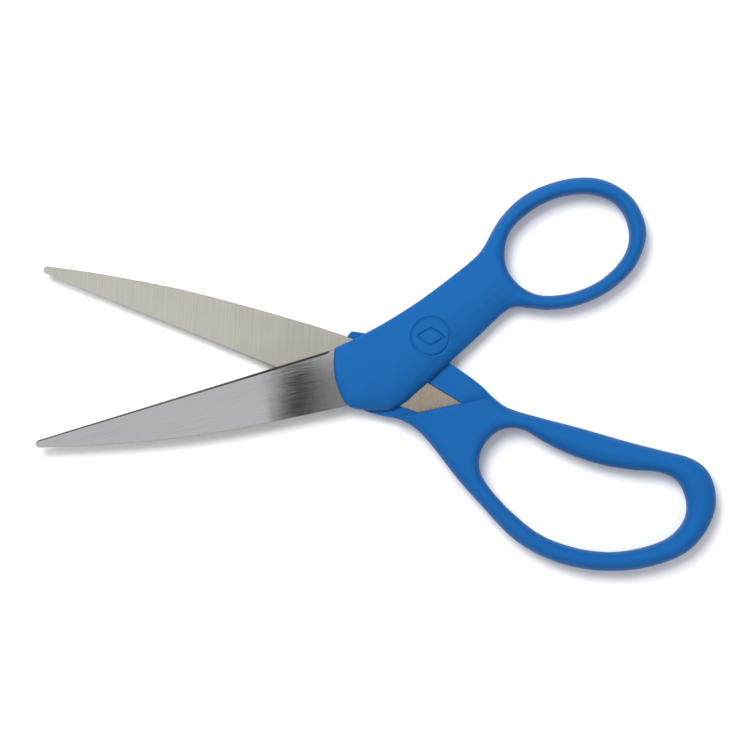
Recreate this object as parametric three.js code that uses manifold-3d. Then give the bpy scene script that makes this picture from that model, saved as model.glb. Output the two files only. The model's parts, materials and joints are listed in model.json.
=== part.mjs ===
/**
 * Office scissors, 8 inch (203 mm closed), lying flat with the blades open by 30 degrees.
 *
 * Each half is a stamped steel blade whose tang sits in a moulded plastic handle. The halves
 * meet on the shear plane, z = 0 while they are built, and turn on one screw. The screw goes
 * up through both blades into a thin nut under the thumb handle's cap, and a flat washer and
 * a conical spring washer under its head keep the blades pressed together.
 *
 * Units are millimetres, +Z is up. +X runs from the blades to the handles along the line that
 * halves the opening angle. The origin ends up at the bottom centre of the whole object.
 *
 * Both halves are drawn the same way, closed, as seen on their own outer face: the pivot at
 * the origin, the blade to the left with its cutting edge up, and the finger hole to the
 * upper right. The finger half is then turned over about X.
 */
import * as THREE from 'three';
import { mergeVertices } from 'three/addons/utils/BufferGeometryUtils.js';
import Module from 'manifold-3d';

const wasm = await Module();
wasm.setup();

// Driving dimensions.
const OPENING = THREE.MathUtils.degToRad(30);
const HANDLE_HALF_THICKNESS = 5;
const HANDLE_EDGE_ROUND = 1.6;
const BLADE_THICKNESS = 1.8;
const BLADE_CLEARANCE = 0.05;
const PLATE_CLEARANCE = 0.15;
const FIT_GAP = 0.3;
const STOP_GAP = 0.35;

const HEEL = [-9, 7.75];
const TIP_RADIUS = 1.1;
const BEVEL_WIDTH = 0.45;
const EDGE_OVERRUN = 6;

const SHAFT_RADIUS = 2;
const BORE_RADIUS = 2.1;
const WINDOW_RADIUS = 5.5;
const NUT_ACROSS_FLATS = 7;
const NUT_BOTTOM = 2.2;
const NUT_THICKNESS = 1.7;
const FLAT_WASHER = { radius: 4.6, thickness: 0.5, top: -1.95 };
const SPRING_WASHER = { radius: 4.1, thickness: 0.4, rise: 0.3, top: -2.55 };
const HEAD = { radius: 3.7, top: -3.35, rim: 0.5, thickness: 1.35, slotWidth: 0.9, slotDepth: 0.8 };

const BADGE_CENTER = [20.3, 5.4];
const BADGE_RADIUS = 5.5;
const BADGE_GROOVE_WIDTH = 0.6;
const BADGE_GROOVE_DEPTH = 0.4;

const ROUND_SEGMENTS = 40;
const STEPS_PER_SPAN = 3;

// The edge of the thumb handle that lands on the finger handle's shoulder when the scissors
// close, from the cap's lobe to the thumb loop.
const STOP_EDGE = [[12.3, -9.1], [16.7, -7.2], [24.1, -2.9], [34, 2.8]];

const THUMB = {
  outline: [
    [-9, -1], [-8.3, -5.8], [-6.8, -9.1], [-2.8, -10.9], [4.4, -12.45], [9.4, -11.2],
    ...STOP_EDGE,
    [42, 7.6], [45.8, 8.5], [50, 7.2], [55.3, 5.6], [62.5, 5], [71.5, 6.6], [80.5, 11.3],
    [85.8, 18], [87.2, 24.3], [84.9, 32.3], [78.6, 38.4], [70.5, 40.9], [61.5, 40.7],
    [53.9, 38.6], [46.8, 34], [40.4, 27], [36.3, 24.1], [28.4, 20.2], [18, 15.6], [7.8, 12],
    [-0.8, 9.6], [-4.6, 8.75], [-7.2, 7.5], [-8.6, 3.4],
  ],
  hole: [
    [82.2, 23.5], [81, 18.4], [76.8, 13.8], [70, 10.3], [61.5, 9], [53, 10.5], [47.6, 15.3],
    [45.7, 21.8], [48.4, 29.2], [55, 33.9], [63.5, 36.3], [72, 35.8], [79, 32.2],
  ],
  tip: [-95.6, -0.3],
  spine: [[-80.8, -4.1], [-64.6, -6.4], [-50.3, -7.8], [-35.8, -8.5], [-13, -8.8]],
  tang: [[-4, -8.7], [6, -7.3], [12, -4.9], [18.1, -2], [25, 2.2], [33, 6.6], [37.6, 9.6],
    [38.4, 12.6], [36.4, 14.6], [30, 12.4], [20, 9.3], [11, 7.6]],
  relief: [[39.4, 2.6], [36.9, 5.3], [30, 8.5], [23, 11.6], [17.6, 17], [-14, 17], [-14, -17],
    [36, -17]],
  color: 0x2171be,
};

const FINGER = {
  outline: [
    [-9, 1], [-8.4, -4.6], [-7, -9.2], [-2.6, -10.25], [5, -11.1], [15, -10.9], [24.1, -8.8],
    [32.1, -6.2], [37.8, -3.4], [43, -2.05], [53.2, -2.3], [63.3, -2.8], [78, -3.2],
    [88, -3.75], [96, -4.15], [101.6, -2.4], [105.6, 2.2], [107.4, 8.4], [106.4, 15.8],
    [102.7, 22.6], [95.8, 28.2], [87.8, 32.3], [78, 35.1], [68.8, 35.8], [60.5, 34.8],
    [52.9, 32.3], [42.4, 26.4], [34.4, 21.6], [24.3, 14.6], [18.4, 11.4], [13.3, 10.4],
    [8.7, 10.9], [3.4, 11], [-3, 9.4], [-7.2, 7.6],
  ],
  hole: [
    [38.5, 12.1], [39.7, 7.6], [43.2, 3.7], [48.5, 2.6], [54.1, 3.9], [62.5, 5.2], [72, 5.4],
    [81, 4.2], [88.5, 2.5], [94.5, 3.2], [98.8, 8], [99.8, 13.6], [97, 19.6], [90.3, 24.8],
    [82, 28.6], [72.4, 30.3], [62, 29.7], [52.1, 26], [43.8, 21.2], [39.6, 17],
  ],
  tip: [-95.6, 0],
  spine: [[-80.8, -3.5], [-59, -6.1], [-37, -7.3], [-12, -7.75]],
  tang: [[6, -6.6], [12, -4.4], [18.1, -2.1], [28.4, 0.45], [33.2, 2.4], [34.6, 4.6],
    [33.4, 6.9], [26, 7.5], [17.9, 6.9], [12.5, 6.7]],
  relief: [
    [-14, 17], [9, 17],
    ...STOP_EDGE.map(([x, y]) => [x + 0.5 * STOP_GAP, STOP_GAP - y]),
    [41, -6.6], [36, -17], [-14, -17],
  ],
  color: 0x2171be,
};

const plastic = { roughness: 0.38, metalness: 0 };
const steel = { color: 0xa9abad, roughness: 0.3, metalness: 1 };
const plated = { color: 0xc9ccd0, roughness: 0.22, metalness: 1 };

/** A closed, evenly stepped smooth outline through the given points. */
function smoothLoop(points) {
  const corners = points.map(([x, y]) => new THREE.Vector3(x, y, 0));
  const curve = new THREE.CatmullRomCurve3(corners, true, 'centripetal');
  const steps = points.length * STEPS_PER_SPAN;
  return curve.getSpacedPoints(steps).slice(0, steps).map((p) => new THREE.Vector2(p.x, p.y));
}

/** The prism over an outline between two heights, with its top and bottom edges rounded. */
function prism(outline, bottom, top, { holes = [], round = 0, roundSteps = 3 } = {}) {
  const shape = new THREE.Shape(outline);
  shape.holes = holes.map((hole) => new THREE.Path(hole));
  const geometry = new THREE.ExtrudeGeometry(shape, {
    depth: top - bottom - 2 * round,
    bevelEnabled: round > 0,
    bevelThickness: round,
    bevelSize: round,
    bevelOffset: -round,
    bevelSegments: roundSteps,
    curveSegments: ROUND_SEGMENTS,
  });
  return geometry.translate(0, 0, bottom + round);
}

/** A straight-sided prism over corner points given as [x, y] pairs. */
function block(corners, bottom, top) {
  return prism(corners.map(([x, y]) => new THREE.Vector2(x, y)), bottom, top);
}

/** An upright disc on the pivot axis. */
function disc(radius, bottom, top, segments = ROUND_SEGMENTS) {
  const geometry = new THREE.CylinderGeometry(radius, radius, top - bottom, segments);
  return geometry.rotateX(Math.PI / 2).translate(0, 0, (bottom + top) / 2);
}

/** A body turned about the pivot axis from a closed profile of [radius, height] pairs. */
function turned(profile) {
  const points = [...profile, profile[0]].map(([radius, z]) => new THREE.Vector2(radius, z));
  return new THREE.LatheGeometry(points, ROUND_SEGMENTS).rotateX(Math.PI / 2);
}

/** The closed solid of a geometry, ready to be cut and joined. */
function toSolid(geometry) {
  geometry.deleteAttribute('normal');
  geometry.deleteAttribute('uv');
  const merged = mergeVertices(geometry, 1e-4);
  return new wasm.Manifold(new wasm.Mesh({
    numProp: 3,
    vertProperties: new Float32Array(merged.attributes.position.array),
    triVerts: new Uint32Array(merged.index.array),
  }));
}

/** The geometry of a finished solid. */
function toGeometry(solid) {
  const { vertProperties, triVerts } = solid.getMesh();
  const geometry = new THREE.BufferGeometry();
  geometry.setAttribute('position', new THREE.BufferAttribute(vertProperties, 3));
  geometry.setIndex(new THREE.BufferAttribute(triVerts, 1));
  geometry.computeVertexNormals();
  return geometry;
}

/** What is left of a body after each tool is cut from it. */
function cut(body, ...tools) {
  return toGeometry(tools.reduce((solid, tool) => solid.subtract(toSolid(tool)), toSolid(body)));
}

function named(name, geometry, { color, roughness, metalness }) {
  const material = new THREE.MeshStandardMaterial({ color, roughness, metalness });
  const mesh = new THREE.Mesh(geometry, material);
  mesh.name = name;
  return mesh;
}

/** The outline of a blade: straight cutting edge, round tip, gently curved spine, then the tang. */
function bladeOutline({ tip, spine, tang }) {
  const shape = new THREE.Shape();
  shape.moveTo(HEEL[0], HEEL[1]);
  shape.lineTo(tip[0], tip[1] + TIP_RADIUS);
  shape.absarc(tip[0], tip[1], TIP_RADIUS, Math.PI / 2, 1.5 * Math.PI, false);
  shape.splineThru(spine.map(([x, y]) => new THREE.Vector2(x, y)));
  shape.splineThru(tang.map(([x, y]) => new THREE.Vector2(x, y)));
  return shape.getPoints(3);
}

/** An anticlockwise outline moved outwards by a distance, each point along its own normal. */
function grown(outline, distance) {
  return outline.map((point, i) => {
    const before = outline.at(i - 1);
    const after = outline[(i + 1) % outline.length];
    const along = after.clone().sub(before).normalize();
    return new THREE.Vector2(point.x + along.y * distance, point.y - along.x * distance);
  });
}

/** One blade: inner face on the shear plane, with its edge ground on the outer face. */
function blade(half) {
  const top = BLADE_CLEARANCE + BLADE_THICKNESS;
  const run = HEEL[0] - half.tip[0];
  const rise = HEEL[1] - half.tip[1] - TIP_RADIUS;
  const grinder = new THREE.BoxGeometry(Math.hypot(run, rise) + EDGE_OVERRUN, 4, 8);
  grinder.translate(-EDGE_OVERRUN / 2, 2, 0);
  grinder.rotateX(Math.atan2(BEVEL_WIDTH, BLADE_THICKNESS));
  grinder.rotateZ(Math.atan2(rise, run));
  grinder.translate(HEEL[0] - run / 2, HEEL[1] - rise / 2, 0);
  const body = prism(bladeOutline(half), BLADE_CLEARANCE, top);
  return cut(body, grinder, disc(BORE_RADIUS, -1, top + 1));
}

/** A handle without its pivot pocket: plate over the relief, full thickness beyond it. */
function handle(half) {
  const body = prism(smoothLoop(half.outline), -HANDLE_HALF_THICKNESS, HANDLE_HALF_THICKNESS, {
    holes: [smoothLoop(half.hole)],
    round: HANDLE_EDGE_ROUND,
  });
  const pocket = grown(bladeOutline(half), FIT_GAP);
  const pocketTop = BLADE_CLEARANCE + BLADE_THICKNESS + FIT_GAP;
  return {
    body,
    cutters: [
      block(half.relief, -2 * HANDLE_HALF_THICKNESS, PLATE_CLEARANCE),
      prism(pocket, BLADE_CLEARANCE - FIT_GAP, pocketTop),
    ],
  };
}

function thumbHandle() {
  const { body, cutters } = handle(THUMB);
  const nutRadius = NUT_ACROSS_FLATS / 2 / Math.cos(Math.PI / 6) + FIT_GAP;
  const nutPocket = disc(nutRadius, 0, NUT_BOTTOM + NUT_THICKNESS + FIT_GAP);
  const floor = HANDLE_HALF_THICKNESS - BADGE_GROOVE_DEPTH;
  const badgeGroove = turned([
    [BADGE_RADIUS - BADGE_GROOVE_WIDTH, floor],
    [BADGE_RADIUS, floor],
    [BADGE_RADIUS, HANDLE_HALF_THICKNESS + 1],
    [BADGE_RADIUS - BADGE_GROOVE_WIDTH, HANDLE_HALF_THICKNESS + 1],
  ]).translate(BADGE_CENTER[0], BADGE_CENTER[1], 0);
  return cut(body, ...cutters, nutPocket, badgeGroove);
}

function fingerHandle() {
  const { body, cutters } = handle(FINGER);
  return cut(body, ...cutters, disc(WINDOW_RADIUS, 0, 2 * HANDLE_HALF_THICKNESS));
}

/** Slotted pan-head screw, head down, with a plain shoulder through both blades. */
function pivotScrew() {
  const bottom = HEAD.top - HEAD.thickness;
  const shaftTop = NUT_BOTTOM + NUT_THICKNESS;
  const body = turned([
    [0, bottom], [0.45 * HEAD.radius, bottom + 0.06], [0.8 * HEAD.radius, bottom + 0.35],
    [HEAD.radius, HEAD.top - HEAD.rim], [HEAD.radius, HEAD.top], [SHAFT_RADIUS, HEAD.top],
    [SHAFT_RADIUS, shaftTop - 0.4], [SHAFT_RADIUS - 0.4, shaftTop], [0, shaftTop],
  ]);
  const slot = new THREE.BoxGeometry(3 * HEAD.radius, HEAD.slotWidth, 2 * HEAD.slotDepth);
  slot.rotateZ(THREE.MathUtils.degToRad(35)).translate(0, 0, bottom);
  return cut(body, slot);
}

function pivotNut() {
  const acrossCorners = NUT_ACROSS_FLATS / 2 / Math.cos(Math.PI / 6);
  const body = disc(acrossCorners, NUT_BOTTOM, NUT_BOTTOM + NUT_THICKNESS, 6);
  return cut(body, disc(BORE_RADIUS, 0, 2 * NUT_BOTTOM + NUT_THICKNESS));
}

function flatWasher({ radius, thickness, top }) {
  return turned([
    [BORE_RADIUS, top - thickness], [radius, top - thickness], [radius, top], [BORE_RADIUS, top],
  ]);
}

/** A conical spring washer, standing on its outer rim against the flat washer. */
function springWasher({ radius, thickness, rise, top }) {
  return turned([
    [BORE_RADIUS, top - rise - thickness + 0.05], [radius, top - thickness], [radius, top],
    [BORE_RADIUS, top - rise],
  ]);
}

const thumbHalf = new THREE.Group();
thumbHalf.rotation.z = OPENING / 2;
thumbHalf.add(
  named('thumb_blade', blade(THUMB), steel),
  named('thumb_handle', thumbHandle(), { ...plastic, color: THUMB.color }),
  named('pivot_nut', pivotNut(), plated),
  named('pivot_screw', pivotScrew(), plated),
  named('spring_washer', springWasher(SPRING_WASHER), plated),
);

const fingerHalf = new THREE.Group();
fingerHalf.rotation.z = -OPENING / 2;
const turnedOver = new THREE.Group();
turnedOver.rotation.x = Math.PI;
turnedOver.add(
  named('finger_blade', blade(FINGER), steel),
  named('finger_handle', fingerHandle(), { ...plastic, color: FINGER.color }),
);
fingerHalf.add(turnedOver, named('flat_washer', flatWasher(FLAT_WASHER), plated));

// The origin goes to the bottom centre of the whole object, opened as it lies.
const scissors = new THREE.Group();
scissors.add(thumbHalf, fingerHalf);
const box = new THREE.Box3().setFromObject(scissors, true);
const center = box.getCenter(new THREE.Vector3());
scissors.position.set(-center.x, -center.y, -box.min.z);
scissors.updateMatrixWorld(true);

export default scissors;
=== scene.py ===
# %% [markdown]
# # Office scissors, lying open
#
# A pair of 8 inch office scissors lies flat on a white table. Two steel blades turn on one
# hidden screw, and each blade's tang sits in a handle of satin blue plastic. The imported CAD
# model holds every size and the one hinge, and this lesson gives it its final surfaces.
#
# Each handle and blade is drawn closed, in millimetres, as seen on its own outer face: the
# pivot at the origin, the blade to the left with its cutting edge up. One function then
# puts it into the frame, which is in metres.

# %% Load the frame
import json
import math

import bmesh
import bpy
import numpy as np
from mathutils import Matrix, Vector


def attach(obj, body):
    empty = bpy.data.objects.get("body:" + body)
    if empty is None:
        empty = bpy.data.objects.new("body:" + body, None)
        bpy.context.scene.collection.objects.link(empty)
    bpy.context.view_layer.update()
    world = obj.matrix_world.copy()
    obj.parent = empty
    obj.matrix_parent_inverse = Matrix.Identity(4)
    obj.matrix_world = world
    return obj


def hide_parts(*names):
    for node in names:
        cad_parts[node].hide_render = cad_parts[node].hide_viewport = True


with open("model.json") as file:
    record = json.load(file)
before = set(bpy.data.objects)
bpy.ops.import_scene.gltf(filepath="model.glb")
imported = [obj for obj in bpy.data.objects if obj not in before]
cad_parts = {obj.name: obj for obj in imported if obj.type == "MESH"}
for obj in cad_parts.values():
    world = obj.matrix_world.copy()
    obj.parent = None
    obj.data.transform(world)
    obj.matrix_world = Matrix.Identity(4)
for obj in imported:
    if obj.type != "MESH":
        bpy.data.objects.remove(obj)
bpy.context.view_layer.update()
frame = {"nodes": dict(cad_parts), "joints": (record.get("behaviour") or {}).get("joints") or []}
nodes = frame["nodes"]
PIVOT = np.array(frame["joints"][0]["pos_m"])
print("nodes:", sorted(nodes), "pivot at", PIVOT)

# %% [markdown]
# ## Where things are
#
# The blades are open by 30 degrees, so each half is turned by 15 degrees from the line in
# the middle. The finger half is the same drawing turned over, because its outer face is
# the one on the table.

# %% Placing a half
MM = 0.001
HALF_OPENING = math.radians(15)
SIDE = {"thumb_half": 1, "finger_half": -1}


def placed(points, half):
    """Points in a half's own drawing, in mm, moved to where the half lies, in metres.

    The finger half first has its y and z negated, which turns it over about X. Then each
    half is turned about the pivot: the thumb half by +15 degrees, the finger half by -15.
    """
    x, y, z = np.moveaxis(np.asarray(points, float), -1, 0)
    side = SIDE[half]
    turn = side * HALF_OPENING
    east = x * math.cos(turn) - side * y * math.sin(turn)
    north = x * math.sin(turn) + side * y * math.cos(turn)
    return np.stack([east, north, side * z], axis=-1) * MM + PIVOT


def new_piece(name, points, faces, half):
    """A mesh object at the origin, with its place in its mesh."""
    mesh = bpy.data.meshes.new(name)
    mesh.from_pydata(placed(points, half).tolist(), [], faces)
    mesh.validate()
    piece = bpy.data.objects.new(name, mesh)
    bpy.context.scene.collection.objects.link(piece)
    return piece


for half in SIDE:
    print(half, "has its blade's middle at", placed((-50, 0, 0), half).round(4))

# %% [markdown]
# ## Smooth outlines
#
# A moulded handle has no straight lines in its outline. A Catmull-Rom curve goes through
# a few chosen points and leaves each one in the direction from its neighbour before to
# its neighbour after, so some thirty points are enough for a whole handle.

# %% A smooth closed curve
FINE = 4000


def spline(points, at):
    """Points on the closed Catmull-Rom curve through the given points.

    at counts control points: 2.5 is half way from the third point to the fourth. Between
    two points, the curve is the cubic that has the neighbours' chord directions at its ends.
    """
    p = np.asarray(points, float)
    i = np.floor(at).astype(int)
    t = (at - i)[:, None]
    a, b, c, d = (p[(i + k) % len(p)] for k in (-1, 0, 1, 2))
    cubic = 2 * b + (c - a) * t + (2 * a - 5 * b + 4 * c - d) * t**2
    return (cubic + (3 * b - a - 3 * c + d) * t**3) / 2


def evenly(points, count):
    """Positions on the closed curve, as spline() counts them, at equal steps of its length."""
    fine = np.linspace(0, len(points), FINE)
    steps = np.linalg.norm(np.diff(spline(points, fine), axis=0), axis=1)
    length = np.concatenate([[0], np.cumsum(steps)])
    return np.interp(np.linspace(0, length[-1], count, endpoint=False), length, fine)


def distance(points, loop):
    """Each point's distance to the nearest side of a closed loop."""
    side = np.roll(loop, -1, axis=0) - loop
    flat = points.reshape(-1, 1, 2) - loop
    along = np.clip((flat * side).sum(-1) / (side * side).sum(-1), 0, 1)
    gap = np.linalg.norm(flat - along[..., None] * side, axis=-1)
    return gap.min(axis=1).reshape(points.shape[:-1])


def smoothed(values, width):
    """Values on a closed run, each averaged with its neighbours."""
    shifts = range(-(width // 2), width // 2 + 1)
    return sum(np.roll(values, k, axis=0) for k in shifts) / width


corners = [(-1, -1), (1, -1), (1, 1), (-1, 1)]
print("a square's curve at equal steps:", evenly(corners, 8).round(2))

# %% [markdown]
# ## The handles' drawing
#
# Each handle has an outline, a finger hole, and the edge of its relief: the line where the
# thin plate at the pivot steps up to the full thickness. The rounding of the top edge
# changes on the way round: tight at the cap, where the plastic meets the blade, soft along
# the palm side of the shank, and as round as a tube on the loops.
#
# A row of the rounding is a position on the outline, counted in its points, and then three
# lengths there: how far in the rounding reaches, how much it drops in all, and how much of
# that drop is the wide crown. A row for the hole has only the reach and the drop. The loop
# lies between the two necks, and the shank's grid lines fan out from the crossing.

# %% The thumb half
STOP_EDGE = [(12.4, -9.5), (16.7, -7.2), (24.1, -2.9), (34, 2.8)]
STOP_GAP = 0.35

THUMB = {
    "half": "thumb_half",
    "outline": [
        (-9, -1), (-8.3, -5.8), (-6.8, -9.1), (-2.8, -10.9), (4.4, -12.45), (9.4, -11.2),
        *STOP_EDGE,
        (42, 7.6), (45.8, 8.5), (50, 7.2), (55.3, 5.6), (62.5, 5), (71.5, 6.6), (80.5, 11.3),
        (85.8, 18), (87.2, 24.3), (84.9, 32.3), (78.6, 38.4), (70.5, 40.9), (61.5, 40.7),
        (53.9, 38.6), (46.8, 34), (40.4, 27), (36.3, 24.1), (28.4, 20.2), (18, 15.6), (7.8, 12),
        (-0.8, 9.6), (-4.6, 8.75), (-6.8, 8.2), (-7.4, 7.75), (-7.8, 6.4), (-8.6, 3.4),
    ],
    "hole": [
        (45.7, 21.8), (47.6, 15.3), (53, 10.5), (61.5, 9), (70, 10.3), (76.8, 13.8), (81, 18.4),
        (82.3, 23.7), (81.3, 29), (78.2, 33), (72, 35.8), (63.5, 36.3), (55, 33.9), (48.4, 29.2),
    ],
    "necks": (10.6, 24.7),
    "crossing": (33, 13),
    "rounding": [
        (0, 1.8, 3, 1), (1, 3, 3.1, 1.2), (3, 7, 4.2, 1.6), (6.5, 8.5, 4.4, 1.8),
        (9.5, 8, 4.4, 1.6), (12, 3.8, 4.5, 0.6), (24, 3.8, 4.5, 0.6), (26, 2.2, 2.6, 1.2),
        (30, 1.6, 2.2, 1.4), (33, 1.6, 2.2, 1.4), (35, 1.6, 2.6, 1.1), (36, 1.8, 3, 1),
    ],
    "hole_rounding": [(0, 4.2, 3.2), (1, 3.6, 3.8), (2, 3.6, 4.2), (12.5, 3.6, 4.2),
                      (14, 4.2, 3.2)],
    "relief": [(41.4, 0.6), (36.9, 5.3), (30, 8.5), (23, 11.6), (16, 18.6)],
    "tip": (-95.6, -0.3),
    "spine": [(-80.8, -4.1), (-64.6, -6.4), (-50.3, -7.8), (-35.8, -8.5), (-13, -8.8)],
    "tang": [(-4, -8.7), (6, -7.3), (12, -4.9), (18.1, -2), (25, 2.2), (33, 6.6), (37.6, 9.6),
             (38.4, 12.6), (36.4, 14.6), (30, 12.4), (20, 9.3), (11, 7.6), (2, 7.8)],
}
print("thumb half:", len(THUMB["outline"]), "outline points,", len(THUMB["hole"]), "in the hole")

# %% The finger half
FINGER = {
    "half": "finger_half",
    "outline": [
        (-9, 1), (-8.5, -4.6), (-7.95, -7.4), (-7.4, -9.2), (-6.8, -9.6), (-2.6, -10.25),
        (5, -11.1), (15, -10.9),
        (24.1, -8.8), (32.1, -6.2), (37.8, -3.4), (43, -2.05), (53.2, -2.3), (63.3, -2.8),
        (78, -3.2), (88, -3.75), (96, -4.15), (101.6, -2.4), (105.6, 2.2), (107.4, 8.4),
        (106.4, 15.8), (102.7, 22.6), (95.8, 28.2), (87.8, 32.3), (78, 35.1), (68.8, 35.8),
        (60.5, 34.8), (52.9, 32.3), (42.4, 26.4), (34.4, 21.6), (24.3, 14.6), (18.4, 11.4),
        (13.3, 10.4), (8.7, 10.9), (3.4, 11), (-3, 9.4), (-7.2, 7.6),
    ],
    "hole": [
        (38.5, 12.1), (39.7, 7.6), (43.2, 3.7), (48.5, 2.6), (54.1, 3.9), (62.5, 5.2),
        (72, 5.4), (81, 4.2), (88.5, 2.5), (94.5, 3.2), (98.8, 8), (99.8, 13.6), (97, 19.6),
        (90.3, 24.8), (82, 28.6), (72.4, 30.3), (62, 29.7), (52.1, 26), (43.8, 21.2),
        (39.6, 17),
    ],
    "necks": (10.7, 29.2),
    "crossing": (27, 4),
    "rounding": [
        (0, 2, 2, 1), (7, 2, 2, 1), (9, 3, 2.6, 1), (11, 3.8, 4.2, 0.7), (14, 5.8, 4.5, 0.6),
        (17, 5.4, 4.5, 0.6), (20, 4.6, 4.5, 0.6), (24, 4, 4.5, 0.6), (28, 3.7, 4.5, 0.7),
        (29, 3.6, 4.2, 0.8), (32, 3, 3.2, 1.4), (35, 2, 2.4, 1.2), (37, 2, 2, 1),
    ],
    "hole_rounding": [(0, 3.8, 3.4), (2, 3.6, 3.8), (5, 6.4, 4.2), (8, 5.6, 4.2),
                      (11, 4.4, 4.2), (16, 3.7, 4.2), (18, 3.6, 3.8), (20, 3.8, 3.4)],
    "relief": [
        (43, -9.6),
        *((x + 0.5 * STOP_GAP, STOP_GAP - y) for x, y in reversed(STOP_EDGE)),
        (4, 17.6),
    ],
    "tip": (-95.6, 0),
    "spine": [(-80.8, -3.5), (-59, -6.1), (-37, -7.3), (-12, -7.75)],
    "tang": [(6, -6.6), (12, -4.4), (18.1, -2.1), (28.4, 0.45), (33.2, 2.4), (34.6, 4.6),
             (33.4, 6.9), (26, 7.5), (17.9, 6.9), (12.5, 6.7), (2, 7.6)],
}
print("finger half:", len(FINGER["outline"]), "outline points,", len(FINGER["hole"]), "in the hole")

# %% [markdown]
# ## One closed grid round a handle
#
# Seen from above, a handle is a ring, however long its shank is. So one grid can wrap it:
# the first parameter runs round the ring, and the second crosses the top from the outline
# to the hole, goes down the hole's wall, comes back underneath and climbs the outer wall.
# Both directions close on themselves, so there is no seam, pole or open edge to mend.
#
# On the loop, a crossing line goes straight to the nearest point of the hole. On the shank
# it is a long way to the hole, so the lines bend towards the middle of the shank first, and
# fan out from there.

# %% Where the grid lines end
AROUND = 480
BLUR = 15
SLIGHT_BLUR = 9


def facing(handle, start, rim):
    """Where each grid line ends on the hole, and how many lines it is past the loop.

    On the loop, that is the hole's nearest point. Along the shank, the ends share out what
    is left of the hole evenly.
    """
    hole = handle["hole"]
    low, high = handle["necks"]
    on_loop = (start > low) & (start < high)
    fine = np.linspace(0, len(hole), FINE, endpoint=False)
    gap = np.linalg.norm(rim[on_loop, None] - spline(hole, fine), axis=-1)
    nearest = np.unwrap(fine[gap.argmin(axis=1)], period=len(hole))
    run = np.arange(AROUND)
    knots = np.concatenate([run[on_loop], [run[on_loop][0] + AROUND]])
    ends = np.concatenate([nearest, [nearest[0] + len(hole)]])
    wrapped = np.where(run < knots[0], run + AROUND, run)
    steady = wrapped * len(hole) / AROUND
    end = smoothed(np.interp(wrapped, knots, ends) - steady, SLIGHT_BLUR) + steady
    past = np.minimum(np.abs(wrapped - knots[-2]), np.abs(wrapped - knots[-1]))
    return np.mod(end, len(hole)), np.where(on_loop, 0, past)


for drawing in (THUMB, FINGER):
    start = evenly(drawing["outline"], AROUND)
    past = facing(drawing, start, spline(drawing["outline"], start))[1]
    print(drawing["half"], "has", (past == 0).sum(), "of", AROUND, "lines on its loop")

# %% The grid seen from above
ACROSS = 44
INWARD = 3
FAN = 0.7
LEAVE_OVER = 30
BEND_OVER = 60
EASING = 12


def crossing_lines(handle):
    """The grid in plan, [round, across, xy], and where each line starts on both curves.

    Each line is a cubic Bezier curve from the outline to the hole. On the loop its two
    middle points lie at a third and two thirds of the way. On the shank the first is
    INWARD of the outline, and the second is on a small copy of the hole at the crossing.
    """
    hole = handle["hole"]
    start = evenly(handle["outline"], AROUND)
    rim = spline(handle["outline"], start)
    end, past = facing(handle, start, rim)
    target = spline(hole, end)
    leave = smoothed(np.clip(past / LEAVE_OVER, 0, 1), BLUR)[:, None]
    bend = smoothed(np.clip(past / BEND_OVER, 0, 1), BLUR)[:, None]
    along = np.roll(rim, -1, axis=0) - np.roll(rim, 1, axis=0)
    inward = smoothed(np.stack([-along[:, 1], along[:, 0]], axis=-1), BLUR)
    inward = inward / np.linalg.norm(inward, axis=-1, keepdims=True)
    first = (2 * rim + target) / 3
    first = first + leave * (rim + INWARD * inward - first)
    second = (rim + 2 * target) / 3
    fan = np.array(handle["crossing"]) + FAN * (target - hole[0])
    second = second + bend * (fan - second)
    v = (1 - np.cos(np.linspace(0, np.pi, ACROSS)))[:, None] / 2
    curves = [c[:, None] for c in (rim, first, second, target)]
    weights = [(1 - v)**3, 3 * v * (1 - v)**2, 3 * v**2 * (1 - v), v**3]
    plan = sum(w * c for w, c in zip(weights, curves))
    for _ in range(EASING):
        plan = plan + 4 * v * (1 - v) * (smoothed(plan, 3) - plan)
    return plan, start, end


print("a handle's top is a grid of", AROUND, "by", ACROSS, "points")

# %% [markdown]
# ## The rounded top
#
# Height depends on how far a point is from the outline and from the hole. Each edge drops
# away much as a quarter circle does, over its own reach, and the two drops add up. On the
# narrow loops both reach the middle, which makes a tube. On the wide shank they leave a
# gently domed top between them.

# %% Heights over the grid
HALF_THICKNESS = 5.0
CROWN_REACH = 11
ROUNDNESS = 2.6


def fall(gap, reach):
    """How far an edge has dropped: 1 on the edge, and 0 from reach inwards.

    With t falling from 1 on the edge to 0 at reach, this is 1 - sqrt(1 - t^2.6). With t^2 it
    would be a quarter circle, which meets a flat top with a visible change of curvature.
    """
    t = 1 - np.clip(gap / reach, 0, 1)
    return 1 - np.sqrt(1 - t**ROUNDNESS)


def dialled(table, at):
    """The columns of a table of (position, value, value...), in between read in proportion."""
    rows = np.asarray(table, float)
    columns = [np.interp(at, rows[:, 0], rows[:, k]) for k in range(1, rows.shape[1])]
    return [smoothed(column, SLIGHT_BLUR)[:, None] for column in columns]


def domed(gap, reach, drop, crown):
    """The height at a distance from the outline: the crown is the wide share of the drop."""
    dome = crown * (1 - np.clip(gap / CROWN_REACH, 0, 1))**2
    return HALF_THICKNESS - (drop - crown) * fall(gap, reach) - dome


def top_at(handle, points):
    """The top's height over points on the shank, from the outline's nearest point."""
    start = evenly(handle["outline"], AROUND)
    gap = np.linalg.norm(points[..., None, :] - spline(handle["outline"], start), axis=-1)
    near = gap.argmin(axis=-1)
    reach, drop, crown = (c[:, 0][near] for c in dialled(handle["rounding"], start))
    return domed(gap.min(axis=-1), reach, drop, crown)


across = np.array([0, 0.5, 1, 2, 4, 8])
print("a loop's outer edge,", across, "mm in:", domed(across, 3.8, 4.5, 0.6).round(2), "mm high")

# %% The closed surface
WALL_ROWS = 3


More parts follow.
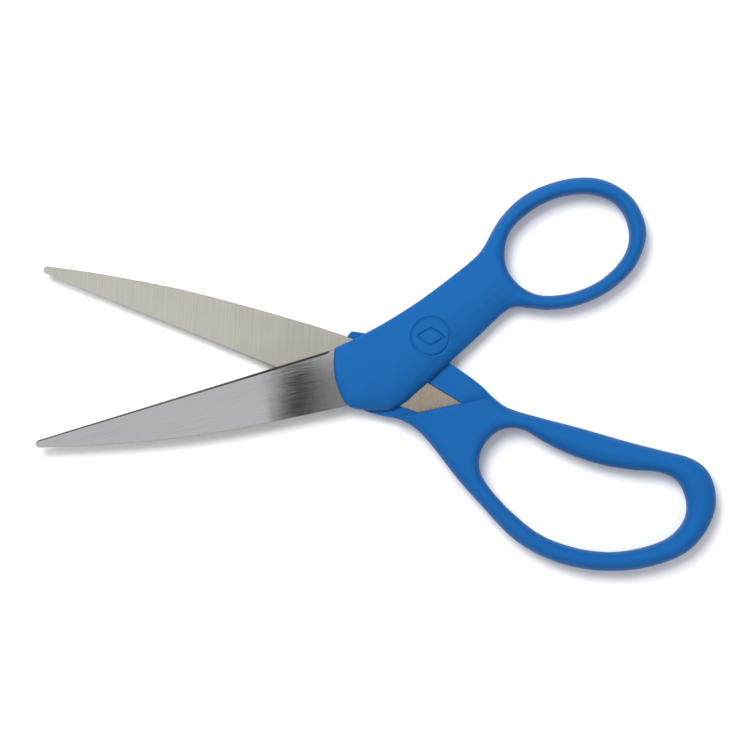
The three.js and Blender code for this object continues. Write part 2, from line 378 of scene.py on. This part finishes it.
def handle_grid(handle):
    """The closed surface of an uncut handle, [round, section, xyz], in its own drawing.

    The section runs over the top, down the hole's wall, back underneath and up the outer
    wall. Height = the domed top's height at the outline's distance - drop * fall(hole).
    """
    plan, start, end = crossing_lines(handle)
    columns = range(ACROSS)
    from_rim = np.stack([distance(plan[:, j], plan[:, 0]) for j in columns], axis=1)
    from_hole = np.stack([distance(plan[:, j], plan[:, -1]) for j in columns], axis=1)
    hole_reach, hole_drop = dialled(handle["hole_rounding"], end)
    height = domed(from_rim, *dialled(handle["rounding"], start))
    height = height - hole_drop * fall(from_hole, hole_reach)
    top = np.concatenate([plan, height[..., None]], axis=-1)
    bottom = np.concatenate([plan, -height[..., None]], axis=-1)[:, ::-1]
    share = np.linspace(0, 1, WALL_ROWS + 2)[1:-1, None]
    inner_wall = top[:, -1:] + share * (bottom[:, :1] - top[:, -1:])
    outer_wall = bottom[:, -1:] + share * (top[:, :1] - bottom[:, -1:])
    return np.concatenate([top, inner_wall, bottom, outer_wall], axis=1)


def wrap_faces(rows, columns, closed_rows=True):
    """Quads over a grid whose columns close on themselves, and whose rows may."""
    i = np.arange(rows if closed_rows else rows - 1)[:, None]
    j = np.arange(columns)[None]
    ni, nj = (i + 1) % rows, (j + 1) % columns
    quads = [i * columns + j, ni * columns + j, ni * columns + nj, i * columns + nj]
    return np.stack(np.broadcast_arrays(*quads), axis=-1).reshape(-1, 4)


print("an uncut handle has", len(wrap_faces(AROUND, 2 * (ACROSS + WALL_ROWS))), "quads")

# %% [markdown]
# ## Cutting the relief and the pockets
#
# The two handles overlap at the pivot, so each is cut away there to a plate of half the
# thickness. The cutter is a profile carried along the stop edge: flat on the shear plane,
# up the stop's wall, and out over a quarter circle that leaves the stop's top edge round.
# Cutting with it is exact, so the stop keeps a crisp line in any light.

# %% The relief's cutter
PLATE_LEVEL = 0.15
STOP_ROUND = 1.1
ROUND_STEPS = 9
PATH_STEPS = 60
OVERSHOOT = 0.2
BELOW = -2 * HALF_THICKNESS
FAR = 45
SPREAD = 60


def open_spline(points, steps):
    """A smooth open curve: the closed one's formula, with both ends carried straight on."""
    p = np.asarray(points, float)
    longer = np.concatenate([[2 * p[0] - p[1]], p, [2 * p[-1] - p[-2]]])
    return spline(longer, np.linspace(1, len(p) - 1e-9, steps))


def solid_of_sections(name, sections, half):
    """A closed solid from sections in a row, [row, corner, xyz], with its two ends filled."""
    rows, corners = sections.shape[:2]
    faces = wrap_faces(rows, corners, closed_rows=False).tolist()
    first = list(range(corners))
    last = [(rows - 1) * corners + k for k in reversed(first)]
    return new_piece(name, sections.reshape(-1, 3), faces + [first, last], half)


def relief_cutter(handle):
    """The stop's profile, carried along the stop edge. Sideways is towards the loop.

    The profile's corners are (STOP_ROUND * (1 + cos a), floor + STOP_ROUND * sin a) for a
    quarter turn. The far side is moved FAR back and fanned out to cover the whole cap.
    """
    path = open_spline(handle["relief"], PATH_STEPS)
    along = np.gradient(path, axis=0)
    side = np.stack([along[:, 1], -along[:, 0]], axis=-1)
    side = side / np.linalg.norm(side, axis=-1, keepdims=True)
    away = side.mean(axis=0)
    fan = np.linspace(-SPREAD, SPREAD, len(path))[:, None] * [-away[1], away[0]]
    far = path - FAR * away + fan
    turn = np.linspace(np.pi, 1.5 * np.pi, ROUND_STEPS)
    floor = -(HALF_THICKNESS - STOP_ROUND)
    near = [(0, PLATE_LEVEL)]
    near += [(STOP_ROUND * (1 + math.cos(a)), floor + STOP_ROUND * math.sin(a)) for a in turn]
    near += [(STOP_ROUND + OVERSHOOT, BELOW)]
    points = [np.c_[path + s * side, np.full(len(path), z)] for s, z in near]
    points += [np.c_[far, np.full(len(path), z)] for z in (BELOW, PLATE_LEVEL)]
    return solid_of_sections("cutter", np.stack(points, axis=1), handle["half"])


edge = open_spline(THUMB["relief"], PATH_STEPS)
edge_length = np.linalg.norm(np.diff(edge, axis=0), axis=1).sum()
print("the thumb's relief edge is", edge_length.round(1), "mm long")

# %% Straight and round cutters
LATHE_STEPS = 96


def prism_cutter(outline, bottom, top, half):
    """An outline raised straight from one height to another."""
    sections = [np.c_[outline, np.full(len(outline), z)] for z in (bottom, top)]
    return solid_of_sections("cutter", np.stack(sections), half)


def lathe_cutter(profile, half):
    """A profile of (radius, height) corners turned about the pivot's upright axis."""
    angle = np.linspace(0, 2 * np.pi, LATHE_STEPS, endpoint=False)
    rings = [(r * np.cos(angle), r * np.sin(angle), np.full(LATHE_STEPS, z)) for r, z in profile]
    sections = np.stack([np.stack(ring, axis=-1) for ring in rings])
    return solid_of_sections("cutter", sections, half)


print("a lathed cutter has", LATHE_STEPS, "sides")

# %% Cutting and smoothing
MERGE = 1e-7
SLIVER = 1e-8
CREASE = math.radians(32)


def outwards(piece):
    """Turns every face outwards, once shared corners are merged."""
    shape = bmesh.new()
    shape.from_mesh(piece.data)
    bmesh.ops.remove_doubles(shape, verts=shape.verts, dist=MERGE)
    bmesh.ops.dissolve_degenerate(shape, edges=shape.edges, dist=SLIVER)
    bmesh.ops.recalc_face_normals(shape, faces=shape.faces)
    shape.to_mesh(piece.data)
    shape.free()
    return piece


def cut(piece, cutters):
    """The piece with every cutter taken out of it, as its final mesh."""
    for cutter in cutters:
        outwards(cutter)
        modifier = piece.modifiers.new("cut", "BOOLEAN")
        modifier.operation = "DIFFERENCE"
        modifier.solver = "EXACT"
        modifier.object = cutter
    view = bpy.context.evaluated_depsgraph_get()
    mesh = bpy.data.meshes.new_from_object(piece.evaluated_get(view))
    piece.modifiers.clear()
    piece.data = mesh
    for cutter in cutters:
        bpy.data.objects.remove(cutter)


def smooth_shading(piece):
    """Smooth shading, except across edges sharper than the crease angle."""
    piece.data.shade_smooth()
    piece.data.set_sharp_from_angle(angle=CREASE)


print("edges stay crisp above", round(math.degrees(CREASE)), "degrees")

# %% [markdown]
# ## The blades
#
# A blade is one grid too: stations from the tip to the end of the tang, and at each station
# a section that runs across the inner face, up the ground edge, back across the outer face
# and down the spine. The outer face is ground thinner towards the tip. The inner face is
# slightly hollow, as real ones are, so that the blades touch only at the cutting point.

# %% A blade's outline
HEEL = (-9, 7.75)
TIP_RADIUS = 1.1
TIP_STEPS = 14
STATION_STEP = 1.0
TANG_END = 3
TANG_END_STEPS = 16
SPINE_STEPS = 600
TANG_STEPS = 400


def blade_sides(handle):
    """Stations along the blade, and the y of its spine side and its cutting side there.

    The tip is a half circle. Over the tang's last TANG_END mm, the stations crowd together
    as a sine does near its top, because the outline turns round there.
    """
    tip_x, tip_y = handle["tip"]
    tang = handle["tang"]
    end = max(range(len(tang)), key=lambda k: tang[k][0])
    spine_side = [(tip_x, tip_y - TIP_RADIUS), *handle["spine"], *tang[:end + 1]]
    low = open_spline(spine_side, SPINE_STEPS)
    back = open_spline([*tang[end:], HEEL], TANG_STEPS)[::-1]
    high = np.concatenate([[(tip_x, tip_y + TIP_RADIUS)], back])
    turn = np.linspace(0, np.pi / 2, TIP_STEPS)[:-1]
    straight = np.arange(tip_x, tang[end][0] - TANG_END, STATION_STEP)
    crowding = 1 - np.sin(np.linspace(0, np.pi / 2, TANG_END_STEPS))
    finish = tang[end][0] - TANG_END * crowding
    station = np.concatenate([tip_x - TIP_RADIUS * np.cos(turn), straight, finish])
    order = np.argsort(low[:, 0], kind="stable")
    spine = np.interp(station, low[order, 0], low[order, 1])
    order = np.argsort(high[:, 0], kind="stable")
    cutting = np.interp(station, high[order, 0], high[order, 1])
    rounded = TIP_RADIUS * np.sin(turn)
    spine[:len(turn)] = tip_y - rounded
    cutting[:len(turn)] = tip_y + rounded
    spine[-1] = cutting[-1] = tang[end][1]
    return station, spine, cutting


def blade_outline(handle, grow):
    """The blade seen from above, a little larger, for the pocket that holds its tang."""
    x, spine, cutting = blade_sides(handle)
    low = np.c_[x, spine - grow]
    high = np.c_[x, cutting + grow]
    low[-1, 0] += grow
    return np.concatenate([low, high[-2:0:-1]])


for drawing in (THUMB, FINGER):
    x, spine, cutting = blade_sides(drawing)
    print(drawing["half"], "blade:", len(x), "stations, widest", (cutting - spine).max().round(1))

# %% A blade's surface
BLADE_BOTTOM = 0.05
BLADE_THICKNESS = 1.8
TIP_THICKNESS = 1.25
TAPER_START, TAPER_LENGTH = -30, 66
EDGE_WIDTH = 0.62
TIP_EDGE_WIDTH = 0.35
EDGE_RUN = 0.5
SOFT_EDGE = 0.12
HOLLOW = 0.05
HOLLOW_START, HOLLOW_RUN = -12, 10
HOLLOW_WIDTH = 8
INNER_FACE, CUTTING_EDGE, OUTER_FACE, BACK, BARE_TANG = range(5)


def blade_grid(handle):
    """The blade's closed surface, [station, section, xyz], and each column's face number.

    The inner face's hollow is 4 f (1 - f) times its depth, where f goes from 0 to 1 across
    the face. Thickness and ground edge get smaller in proportion towards the tip.
    """
    x, spine, cutting = blade_sides(handle)
    width = cutting - spine
    soft = np.minimum(SOFT_EDGE, width / 4)
    toward_tip = np.clip((TAPER_START - x) / TAPER_LENGTH, 0, 1)
    ground = EDGE_WIDTH + (TIP_EDGE_WIDTH - EDGE_WIDTH) * toward_tip
    ground = np.clip((HEEL[0] - x) / EDGE_RUN, 0, 1) * np.minimum(ground, width / 3)
    thick = BLADE_THICKNESS + (TIP_THICKNESS - BLADE_THICKNESS) * toward_tip
    hollow = HOLLOW * np.clip((HOLLOW_START - x) / HOLLOW_RUN, 0, 1)
    hollow = hollow * np.minimum(1, width / HOLLOW_WIDTH)
    across = np.linspace(0, 1, 11)
    columns = []
    for f in across:
        y = spine + soft + f * (width - soft)
        columns.append((y, BLADE_BOTTOM + 4 * f * (1 - f) * hollow))
    for f in (0.25, 0.5, 0.75):
        columns.append((cutting - f * ground, BLADE_BOTTOM + f * thick))
    for f in across:
        y = cutting - ground - 0.5 * soft - f * (width - ground - 1.5 * soft)
        columns.append((y, BLADE_BOTTOM + thick))
    for f in (0, 0.25, 0.5, 0.75, 1):
        columns.append((spine, BLADE_BOTTOM + thick - soft - f * (thick - 2 * soft)))
    points = np.stack([np.stack([x, y, z + 0 * x], axis=-1) for y, z in columns], axis=1)
    return points, [INNER_FACE] * 10 + [CUTTING_EDGE] * 4 + [OUTER_FACE] * 10 + [BACK] * 6


print("blade thickness", BLADE_THICKNESS, "mm at the pivot and", TIP_THICKNESS, "mm at the tip")

# %% [markdown]
# ## A small language for materials
#
# Shader maths is easier to read as arithmetic. A Wire holds one output socket, and each
# operator on it adds the Math node that does the sum. Every other node comes from one
# method, which sets the node's own settings first and then its inputs.

# %% Materials as expressions
class Wire:
    """One output socket of a finish, which can be added to, multiplied and so on."""

    def __init__(self, finish, socket):
        self.finish, self.socket = finish, socket

    def math(self, operation, *values):
        """A Math node on one or two values."""
        return self.finish.node("ShaderNodeMath", {"operation": operation}, *values)

    def __add__(self, other):
        return self.math("ADD", self, other)

    def __sub__(self, other):
        return self.math("SUBTRACT", self, other)

    def __rsub__(self, other):
        return self.math("SUBTRACT", other, self)

    def __mul__(self, other):
        return self.math("MULTIPLY", self, other)

    __radd__ = __add__
    __rmul__ = __mul__


class Finish:
    """A material: its Principled shader, and nodes that feed it."""

    def __init__(self, name, **constants):
        self.material = bpy.data.materials.new(name)
        self.material.use_nodes = True
        self.tree = self.material.node_tree
        self.shader = self.tree.nodes["Principled BSDF"]
        for socket, value in constants.items():
            self.shader.inputs[socket.replace("_", " ")].default_value = value

    def node(self, kind, settings, *values, output=0, **named):
        """One node: its settings, then its inputs by order or by name, and an output."""
        made = self.tree.nodes.new(kind)
        for key, value in settings.items():
            setattr(made, key, value)
        for key, value in [*enumerate(values), *named.items()]:
            key = key.replace("_", " ") if isinstance(key, str) else key
            if isinstance(value, Wire):
                self.tree.links.new(value.socket, made.inputs[key])
            elif value is not None:
                made.inputs[key].default_value = value
        return Wire(self, made.outputs[output])

    def place(self, size=(1, 1, 1), turn=0.0):
        """Object coordinates from the pivot, turned about Z, where one unit is size in metres."""
        where = self.node("ShaderNodeTexCoord", {}, output="Object")
        return self.node("ShaderNodeMapping", {"vector_type": "TEXTURE"}, where,
                         Location=tuple(PIVOT), Rotation=(0, 0, turn), Scale=size)

    def noise(self, where, detail=2.0, roughness=0.5):
        """Smooth random values about one unit wide, from 0 to 1."""
        return self.node("ShaderNodeTexNoise", {}, where, Scale=1.0, Detail=detail,
                         Roughness=roughness)

    def mix(self, amount, first, second):
        """A colour between two: the first at an amount of 0, and the second at 1."""
        unused = [None] * 5
        return self.node("ShaderNodeMix", {"data_type": "RGBA"}, amount, *unused, first, second,
                         output=2)

    def feed(self, socket, wire):
        """Joins a wire to one of the shader's inputs."""
        self.tree.links.new(wire.socket, self.shader.inputs[socket])

    def bump(self, height, depth):
        """A relief on the surface: the height, from 0 to 1, times a depth in metres."""
        self.feed("Normal", self.node("ShaderNodeBump", {}, Distance=depth, Height=height))


print("operators on a wire: +, - and *")

# %% [markdown]
# ## Satin blue plastic
#
# The handles are moulded in a tough plastic whose mould was lightly blasted. It shows hardly
# any mirror image, only a wide soft sheen. A fine grain in the bump breaks up the sheen, and
# slow noise makes the colour and the gloss uneven by a few parts in a hundred, as in any
# moulding whose pigment was stirred into it.

# %% The plastic
BLUE = (0.0082, 0.109, 0.347, 1)
BLUE_DEEP = (0.006, 0.097, 0.322, 1)
CLOUD = 0.012
GRAIN = 0.0003


def satin_plastic(name):
    """Colour between the two blues, and roughness = 0.36 + 0.10 cloudy + 0.06 grain."""
    finish = Finish(name, Specular_IOR_Level=0.1)
    cloudy = finish.noise(finish.place((CLOUD, CLOUD, CLOUD)), detail=3)
    grain = finish.noise(finish.place((GRAIN, GRAIN, GRAIN)), detail=2)
    finish.feed("Base Color", finish.mix(cloudy, BLUE, BLUE_DEEP))
    finish.feed("Roughness", 0.36 + 0.10 * cloudy + 0.06 * grain)
    finish.bump(grain, 0.000012)
    return finish.material


blue = satin_plastic("satin_blue_plastic")
print("plastic:", len(blue.node_tree.nodes), "nodes")

# %% [markdown]
# ## Ground steel
#
# Grinding leaves fine grooves, and a groove scatters light only across itself. So the outer
# face, ground lengthwise, keeps reflections sharp along the blade and smears them across
# it, and the inner face, ground crosswise, does the opposite. Noise stretched along the
# grooves is used for the bump, which gives that smear without any special shader.

# %% The blades' steels
COOL = (0.52, 0.53, 0.548)
WARM = (0.62, 0.595, 0.535)
# The ground edge's near-black colour is painted shade: it stands in for the dark reflection along
# the edge, not a colour the steel has.
EDGE_PAINTED_SHADE = (0.025, 0.024, 0.022)
GREY = (0.38, 0.38, 0.38)
BARE = (0.50, 0.42, 0.345)
SHADED = 0.8


def ground_steel(name, color, turn, groove, depth, roughness, metallic=1.0):
    """Steel whose grooves are groove[0] by groove[1] metres, before the turn about Z."""
    finish = Finish(name, Metallic=metallic)
    lines = finish.noise(finish.place((*groove, groove[1]), turn), detail=3, roughness=0.6)
    broad = finish.noise(finish.place((0.03, 0.006, 0.01), turn), detail=2)
    darker = tuple(SHADED * c for c in color)
    shade = 1.4 * lines + 0.4 * broad - 0.4
    finish.feed("Base Color", finish.mix(shade, (*color, 1), (*darker, 1)))
    finish.feed("Roughness", roughness * (0.7 + 0.6 * lines))
    finish.bump(lines, depth)
    return finish.material


def blade_steels(half):
    """The finishes of a blade's inner face, edge (painted shade), outer face, back and bare tang,
    in order.
    """
    turn = SIDE[half] * HALF_OPENING
    name = half.split("_")[0]
    return [
        ground_steel(name + "_inner_face", WARM, 0, (0.00025, 0.03), 0.000005, 0.2),
        # The edge's finish is near-black and not metallic, a painted shade for the edge's dark
        # reflection.
        ground_steel(name + "_cutting_edge", EDGE_PAINTED_SHADE, turn, (0.0002, 0.002), 0.00001, 0.6, 0.0),
        ground_steel(name + "_outer_face", COOL, turn, (0.03, 0.00012), 0.000004, 0.06),
        ground_steel(name + "_back", GREY, turn, (0.01, 0.0003), 0.00001, 0.35),
        ground_steel(name + "_bare_tang", BARE, 0, (0.0003, 0.02), 0.000008, 0.28),
    ]


print("five steels for each blade, with darker streaks at", SHADED, "of their colour")

# %% Plated steel
NICKEL = (0.60, 0.59, 0.56, 1)
NICKEL_DULL = (0.50, 0.48, 0.45, 1)
RINGS_PER_MM = 7


def turned_steel(name):
    """Plated steel with fine rings round the pivot, as turning on a lathe leaves."""
    finish = Finish(name, Metallic=1.0)
    where = finish.place((0.001, 0.001, 1000))
    radius = finish.node("ShaderNodeVectorMath", {"operation": "LENGTH"}, where, output="Value")
    rings = finish.node("ShaderNodeTexNoise", {"noise_dimensions": "1D"},
                        W=RINGS_PER_MM * radius, Scale=1, Detail=3)
    tarnish = finish.noise(finish.place((0.004, 0.004, 0.004)), detail=3)
    finish.feed("Base Color", finish.mix(tarnish, NICKEL, NICKEL_DULL))
    finish.feed("Roughness", 0.18 + 0.14 * rings + 0.08 * tarnish)
    finish.bump(rings, 0.00001)
    return finish.material


nickel = turned_steel("nickel_plate")
print("nickel:", len(nickel.node_tree.nodes), "nodes")

# %% [markdown]
# ## Making the handles
#
# The thumb handle loses its relief, the slot for the tang, a pocket for the hidden nut, and
# the grooves of its round badge with a plain lozenge in it. The finger handle loses its
# relief, its slot, and the round window that leaves the screw's head in view underneath.

# %% The badge's grooves
BADGE = (20.3, 5.4)
RING = {"half_length": 5.3, "half_width": 5.3, "power": 2, "turn": 0}
LOZENGE = {"half_length": 3.4, "half_width": 2.2, "power": 1.2, "turn": -HALF_OPENING}
GROOVE = [(-0.35, 0.3), (-0.3, -0.45), (0.15, -0.45), (0.75, 0), (0.8, 0.3)]
GROOVE_STEPS = 96


def oval_groove(half_length, half_width, power, turn):
    """A groove's solid: a small section carried round |x/a|^p + |y/b|^p = 1, then turned.

    GROOVE is the section, as (outwards, up) from the oval's line on the handle's top face.
    """
    angle = np.linspace(0, 2 * np.pi, GROOVE_STEPS, endpoint=False)
    east = half_length * np.sign(np.cos(angle)) * np.abs(np.cos(angle))**(2 / power)
    north = half_width * np.sign(np.sin(angle)) * np.abs(np.sin(angle))**(2 / power)
    size = math.hypot(half_length, half_width) / math.sqrt(2)
    x = np.stack([east * (1 + out / size) for out, _ in GROOVE], axis=1)
    y = np.stack([north * (1 + out / size) for out, _ in GROOVE], axis=1)
    c, s = math.cos(turn), math.sin(turn)
    plan = np.stack([BADGE[0] + c * x - s * y, BADGE[1] + s * x + c * y], axis=-1)
    z = top_at(THUMB, plan) + [up for _, up in GROOVE]
    points = np.concatenate([plan, z[..., None]], axis=-1)
    faces = wrap_faces(*x.shape).tolist()
    return new_piece("cutter", points.reshape(-1, 3), faces, "thumb_half")


print("badge at", BADGE, "mm from the pivot, grooves", -GROOVE[1][1], "mm deep")

# %% Both handles
SLOT_GROW = 0.08
SLOT_BOTTOM, SLOT_TOP = 0.0, 1.9
NUT_POCKET = [(4.3, 1.0), (4.3, 4.1)]
WINDOW = [(5.5, 1.0), (5.5, 4.5), (6.3, 5.3)]


def make_handle(name, handle, extra):
    """One handle, cut, in blue, riding with its half in place of the CAD's own."""
    half = handle["half"]
    grid = handle_grid(handle)
    faces = wrap_faces(*grid.shape[:2]).tolist()
    piece = outwards(new_piece(name, grid.reshape(-1, 3), faces, half))
    slot = prism_cutter(blade_outline(handle, SLOT_GROW), SLOT_BOTTOM, SLOT_TOP, half)
    cut(piece, [relief_cutter(handle), slot, *extra])
    smooth_shading(piece)
    piece.data.materials.clear()
    piece.data.materials.append(blue)
    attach(piece, half)
    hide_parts(half.split("_")[0] + "_handle")
    print(name, len(piece.data.polygons), "faces")


make_handle("thumb_grip", THUMB, [
    lathe_cutter(NUT_POCKET, "thumb_half"),
    oval_groove(**RING),
    oval_groove(**LOZENGE),
])
make_handle("finger_grip", FINGER, [lathe_cutter(WINDOW, "finger_half")])

# %% [markdown]
# ## Making the blades
#
# A blade's grid gets its finishes by column, so that each one ends exactly on an edge of
# the grinding. From just before the pivot to the end, the inner face is the duller bare
# tang. Then the bore for the screw is cut.

# %% Both blades
BORE = [(2.1, -1), (2.1, 3)]
TANG_START = -4


def make_blade(name, handle):
    """One blade, bored, in its five steels, riding with its half in place of the CAD's own."""
    half = handle["half"]
    points, face = blade_grid(handle)
    faces = wrap_faces(*points.shape[:2], closed_rows=False)
    piece = new_piece(name, points.reshape(-1, 3), faces.tolist(), half)
    kind = np.tile(face, (len(points) - 1, 1))
    kind[(points[:-1, :1, 0] > TANG_START) & (kind == INNER_FACE)] = BARE_TANG
    piece.data.polygons.foreach_set("material_index", kind.ravel())
    for finish in blade_steels(half):
        piece.data.materials.append(finish)
    cut(outwards(piece), [lathe_cutter(BORE, half)])
    smooth_shading(piece)
    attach(piece, half)
    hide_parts(half.split("_")[0] + "_blade")
    print(name, len(piece.data.polygons), "faces,", len(piece.data.materials), "finishes")


make_blade("thumb_steel", THUMB)
make_blade("finger_steel", FINGER)

# %% [markdown]
# ## The pivot's own parts
#
# Screw, nut and washers are right as the CAD has them. Their edges are machined, so each
# gets a narrow bevel that catches the light, and the plated finish.

# %% Finish the pivot
WELD_DISTANCE = 0.000002
BEVEL_WIDTH = 0.00008

for name in ("pivot_screw", "pivot_nut", "spring_washer", "flat_washer"):
    part = nodes[name]
    weld = part.modifiers.new("weld", "WELD")
    weld.merge_threshold = WELD_DISTANCE
    bevel = part.modifiers.new("bevel", "BEVEL")
    bevel.width, bevel.segments, bevel.limit_method = BEVEL_WIDTH, 2, "ANGLE"
    for place in part.material_slots:
        place.material = nickel
    print(name, "finished")

# %% [markdown]
# ## The table and the cards
#
# The scissors lie on a white table. Some 30 cm over their near side hang two cards, one
# dark and one grey, which only reflections show. They give the outer blade the soft dark
# bar that tells the eye it is metal.

# %% Table and cards
FRAME_CENTER = PIVOT + np.array([0.00277, -0.00114, 0])
TABLE_SIZE = 4
TABLE_LEVEL = -0.0001
TABLE_WHITE = 0.94
CARD_HEIGHT = 0.3
CARD_SOUTH = 0.12
CARD_LENGTH = 0.25
CARDS = {"dark_card": (-0.0365, -0.0225, 0.05), "grey_card": (-0.0225, 0.03, 0.34)}


def flat_sheet(name, center, size, tone):
    """A level rectangle in one tone of grey, which isn't part of the object."""
    east, north = size[0] / 2, size[1] / 2
    corners = [(-east, -north), (east, -north), (east, north), (-east, north)]
    mesh = bpy.data.meshes.new(name)
    mesh.from_pydata([(center[0] + x, center[1] + y, center[2]) for x, y in corners], [],
                     [(0, 1, 2, 3)])
    sheet = bpy.data.objects.new(name, mesh)
    bpy.context.scene.collection.objects.link(sheet)
    finish = Finish(name, Base_Color=(tone, tone, tone, 1), Roughness=1.0,
                    Specular_IOR_Level=0.0)
    mesh.materials.append(finish.material)
    return sheet


flat_sheet("table", (0, 0, TABLE_LEVEL), (TABLE_SIZE, TABLE_SIZE), TABLE_WHITE)
for name, (west, east, tone) in CARDS.items():
    middle = (FRAME_CENTER[0] + (west + east) / 2, FRAME_CENTER[1] - CARD_SOUTH, CARD_HEIGHT)
    card = flat_sheet(name, middle, (east - west, CARD_LENGTH), tone)
    card.visible_camera = False
    card.visible_diffuse = False
    card.visible_shadow = False
print("stage: a table and", len(CARDS), "cards")

# %% [markdown]
# ## Light and camera
#
# One key light from the upper left makes the shadows. It isn't seen in reflections, where
# it would only be glare. A wide overhead panel lights from above, and its mirror image fills
# the steel. Two windows, seen only in reflections, shade the steel when it is looked at from
# the side. The camera looks straight down through a long lens.

# %% Lights
SKY = 0.38
OVERHEAD = 0.55
WINDOWS = {"north_window": (-0.5, 1.7, 0.9), "south_window": (0.6, -1.7, 0.9)}
scene = bpy.context.scene


def panel(name, place, size, radiance):
    """A square area light aimed at the origin. Its power is pi * area * radiance."""
    light = bpy.data.lights.new(name, "AREA")
    light.size = size
    light.energy = math.pi * size**2 * radiance
    holder = bpy.data.objects.new(name, light)
    holder.location = place
    holder.rotation_euler = (Vector() - Vector(place)).to_track_quat("-Z", "Y").to_euler()
    scene.collection.objects.link(holder)
    return holder


key = panel("key", (-0.34, 0.48, 1.1), size=0.55, radiance=14)
key.visible_glossy = False
panel("overhead", (0, 0, 1.4), size=2.4, radiance=OVERHEAD)
for name, place in WINDOWS.items():
    window = panel(name, place, size=1.1, radiance=0.8)
    window.visible_camera = False
    window.visible_diffuse = False
scene.world = bpy.data.worlds.new("studio")
scene.world.use_nodes = True
background = scene.world.node_tree.nodes["Background"]
background.inputs["Color"].default_value = (1, 1, 1, 1)
background.inputs["Strength"].default_value = SKY
scene.view_settings.view_transform = "Standard"
print("sky at", SKY, "with an overhead panel at", OVERHEAD, "and", len(WINDOWS), "windows")

# %% Camera
FRAME_WIDTH = 0.2148
ROLL = math.radians(2.53)
lens = bpy.data.cameras.new("camera")
lens.lens = 150
lens.sensor_width = 36
distance_away = FRAME_WIDTH * lens.lens / lens.sensor_width
camera = bpy.data.objects.new("camera", lens)
camera.location = (FRAME_CENTER[0], FRAME_CENTER[1], PIVOT[2] + distance_away)
camera.rotation_euler = (0, 0, ROLL)
scene.collection.objects.link(camera)
scene.camera = camera
print("camera", round(distance_away, 3), "m above the blades")
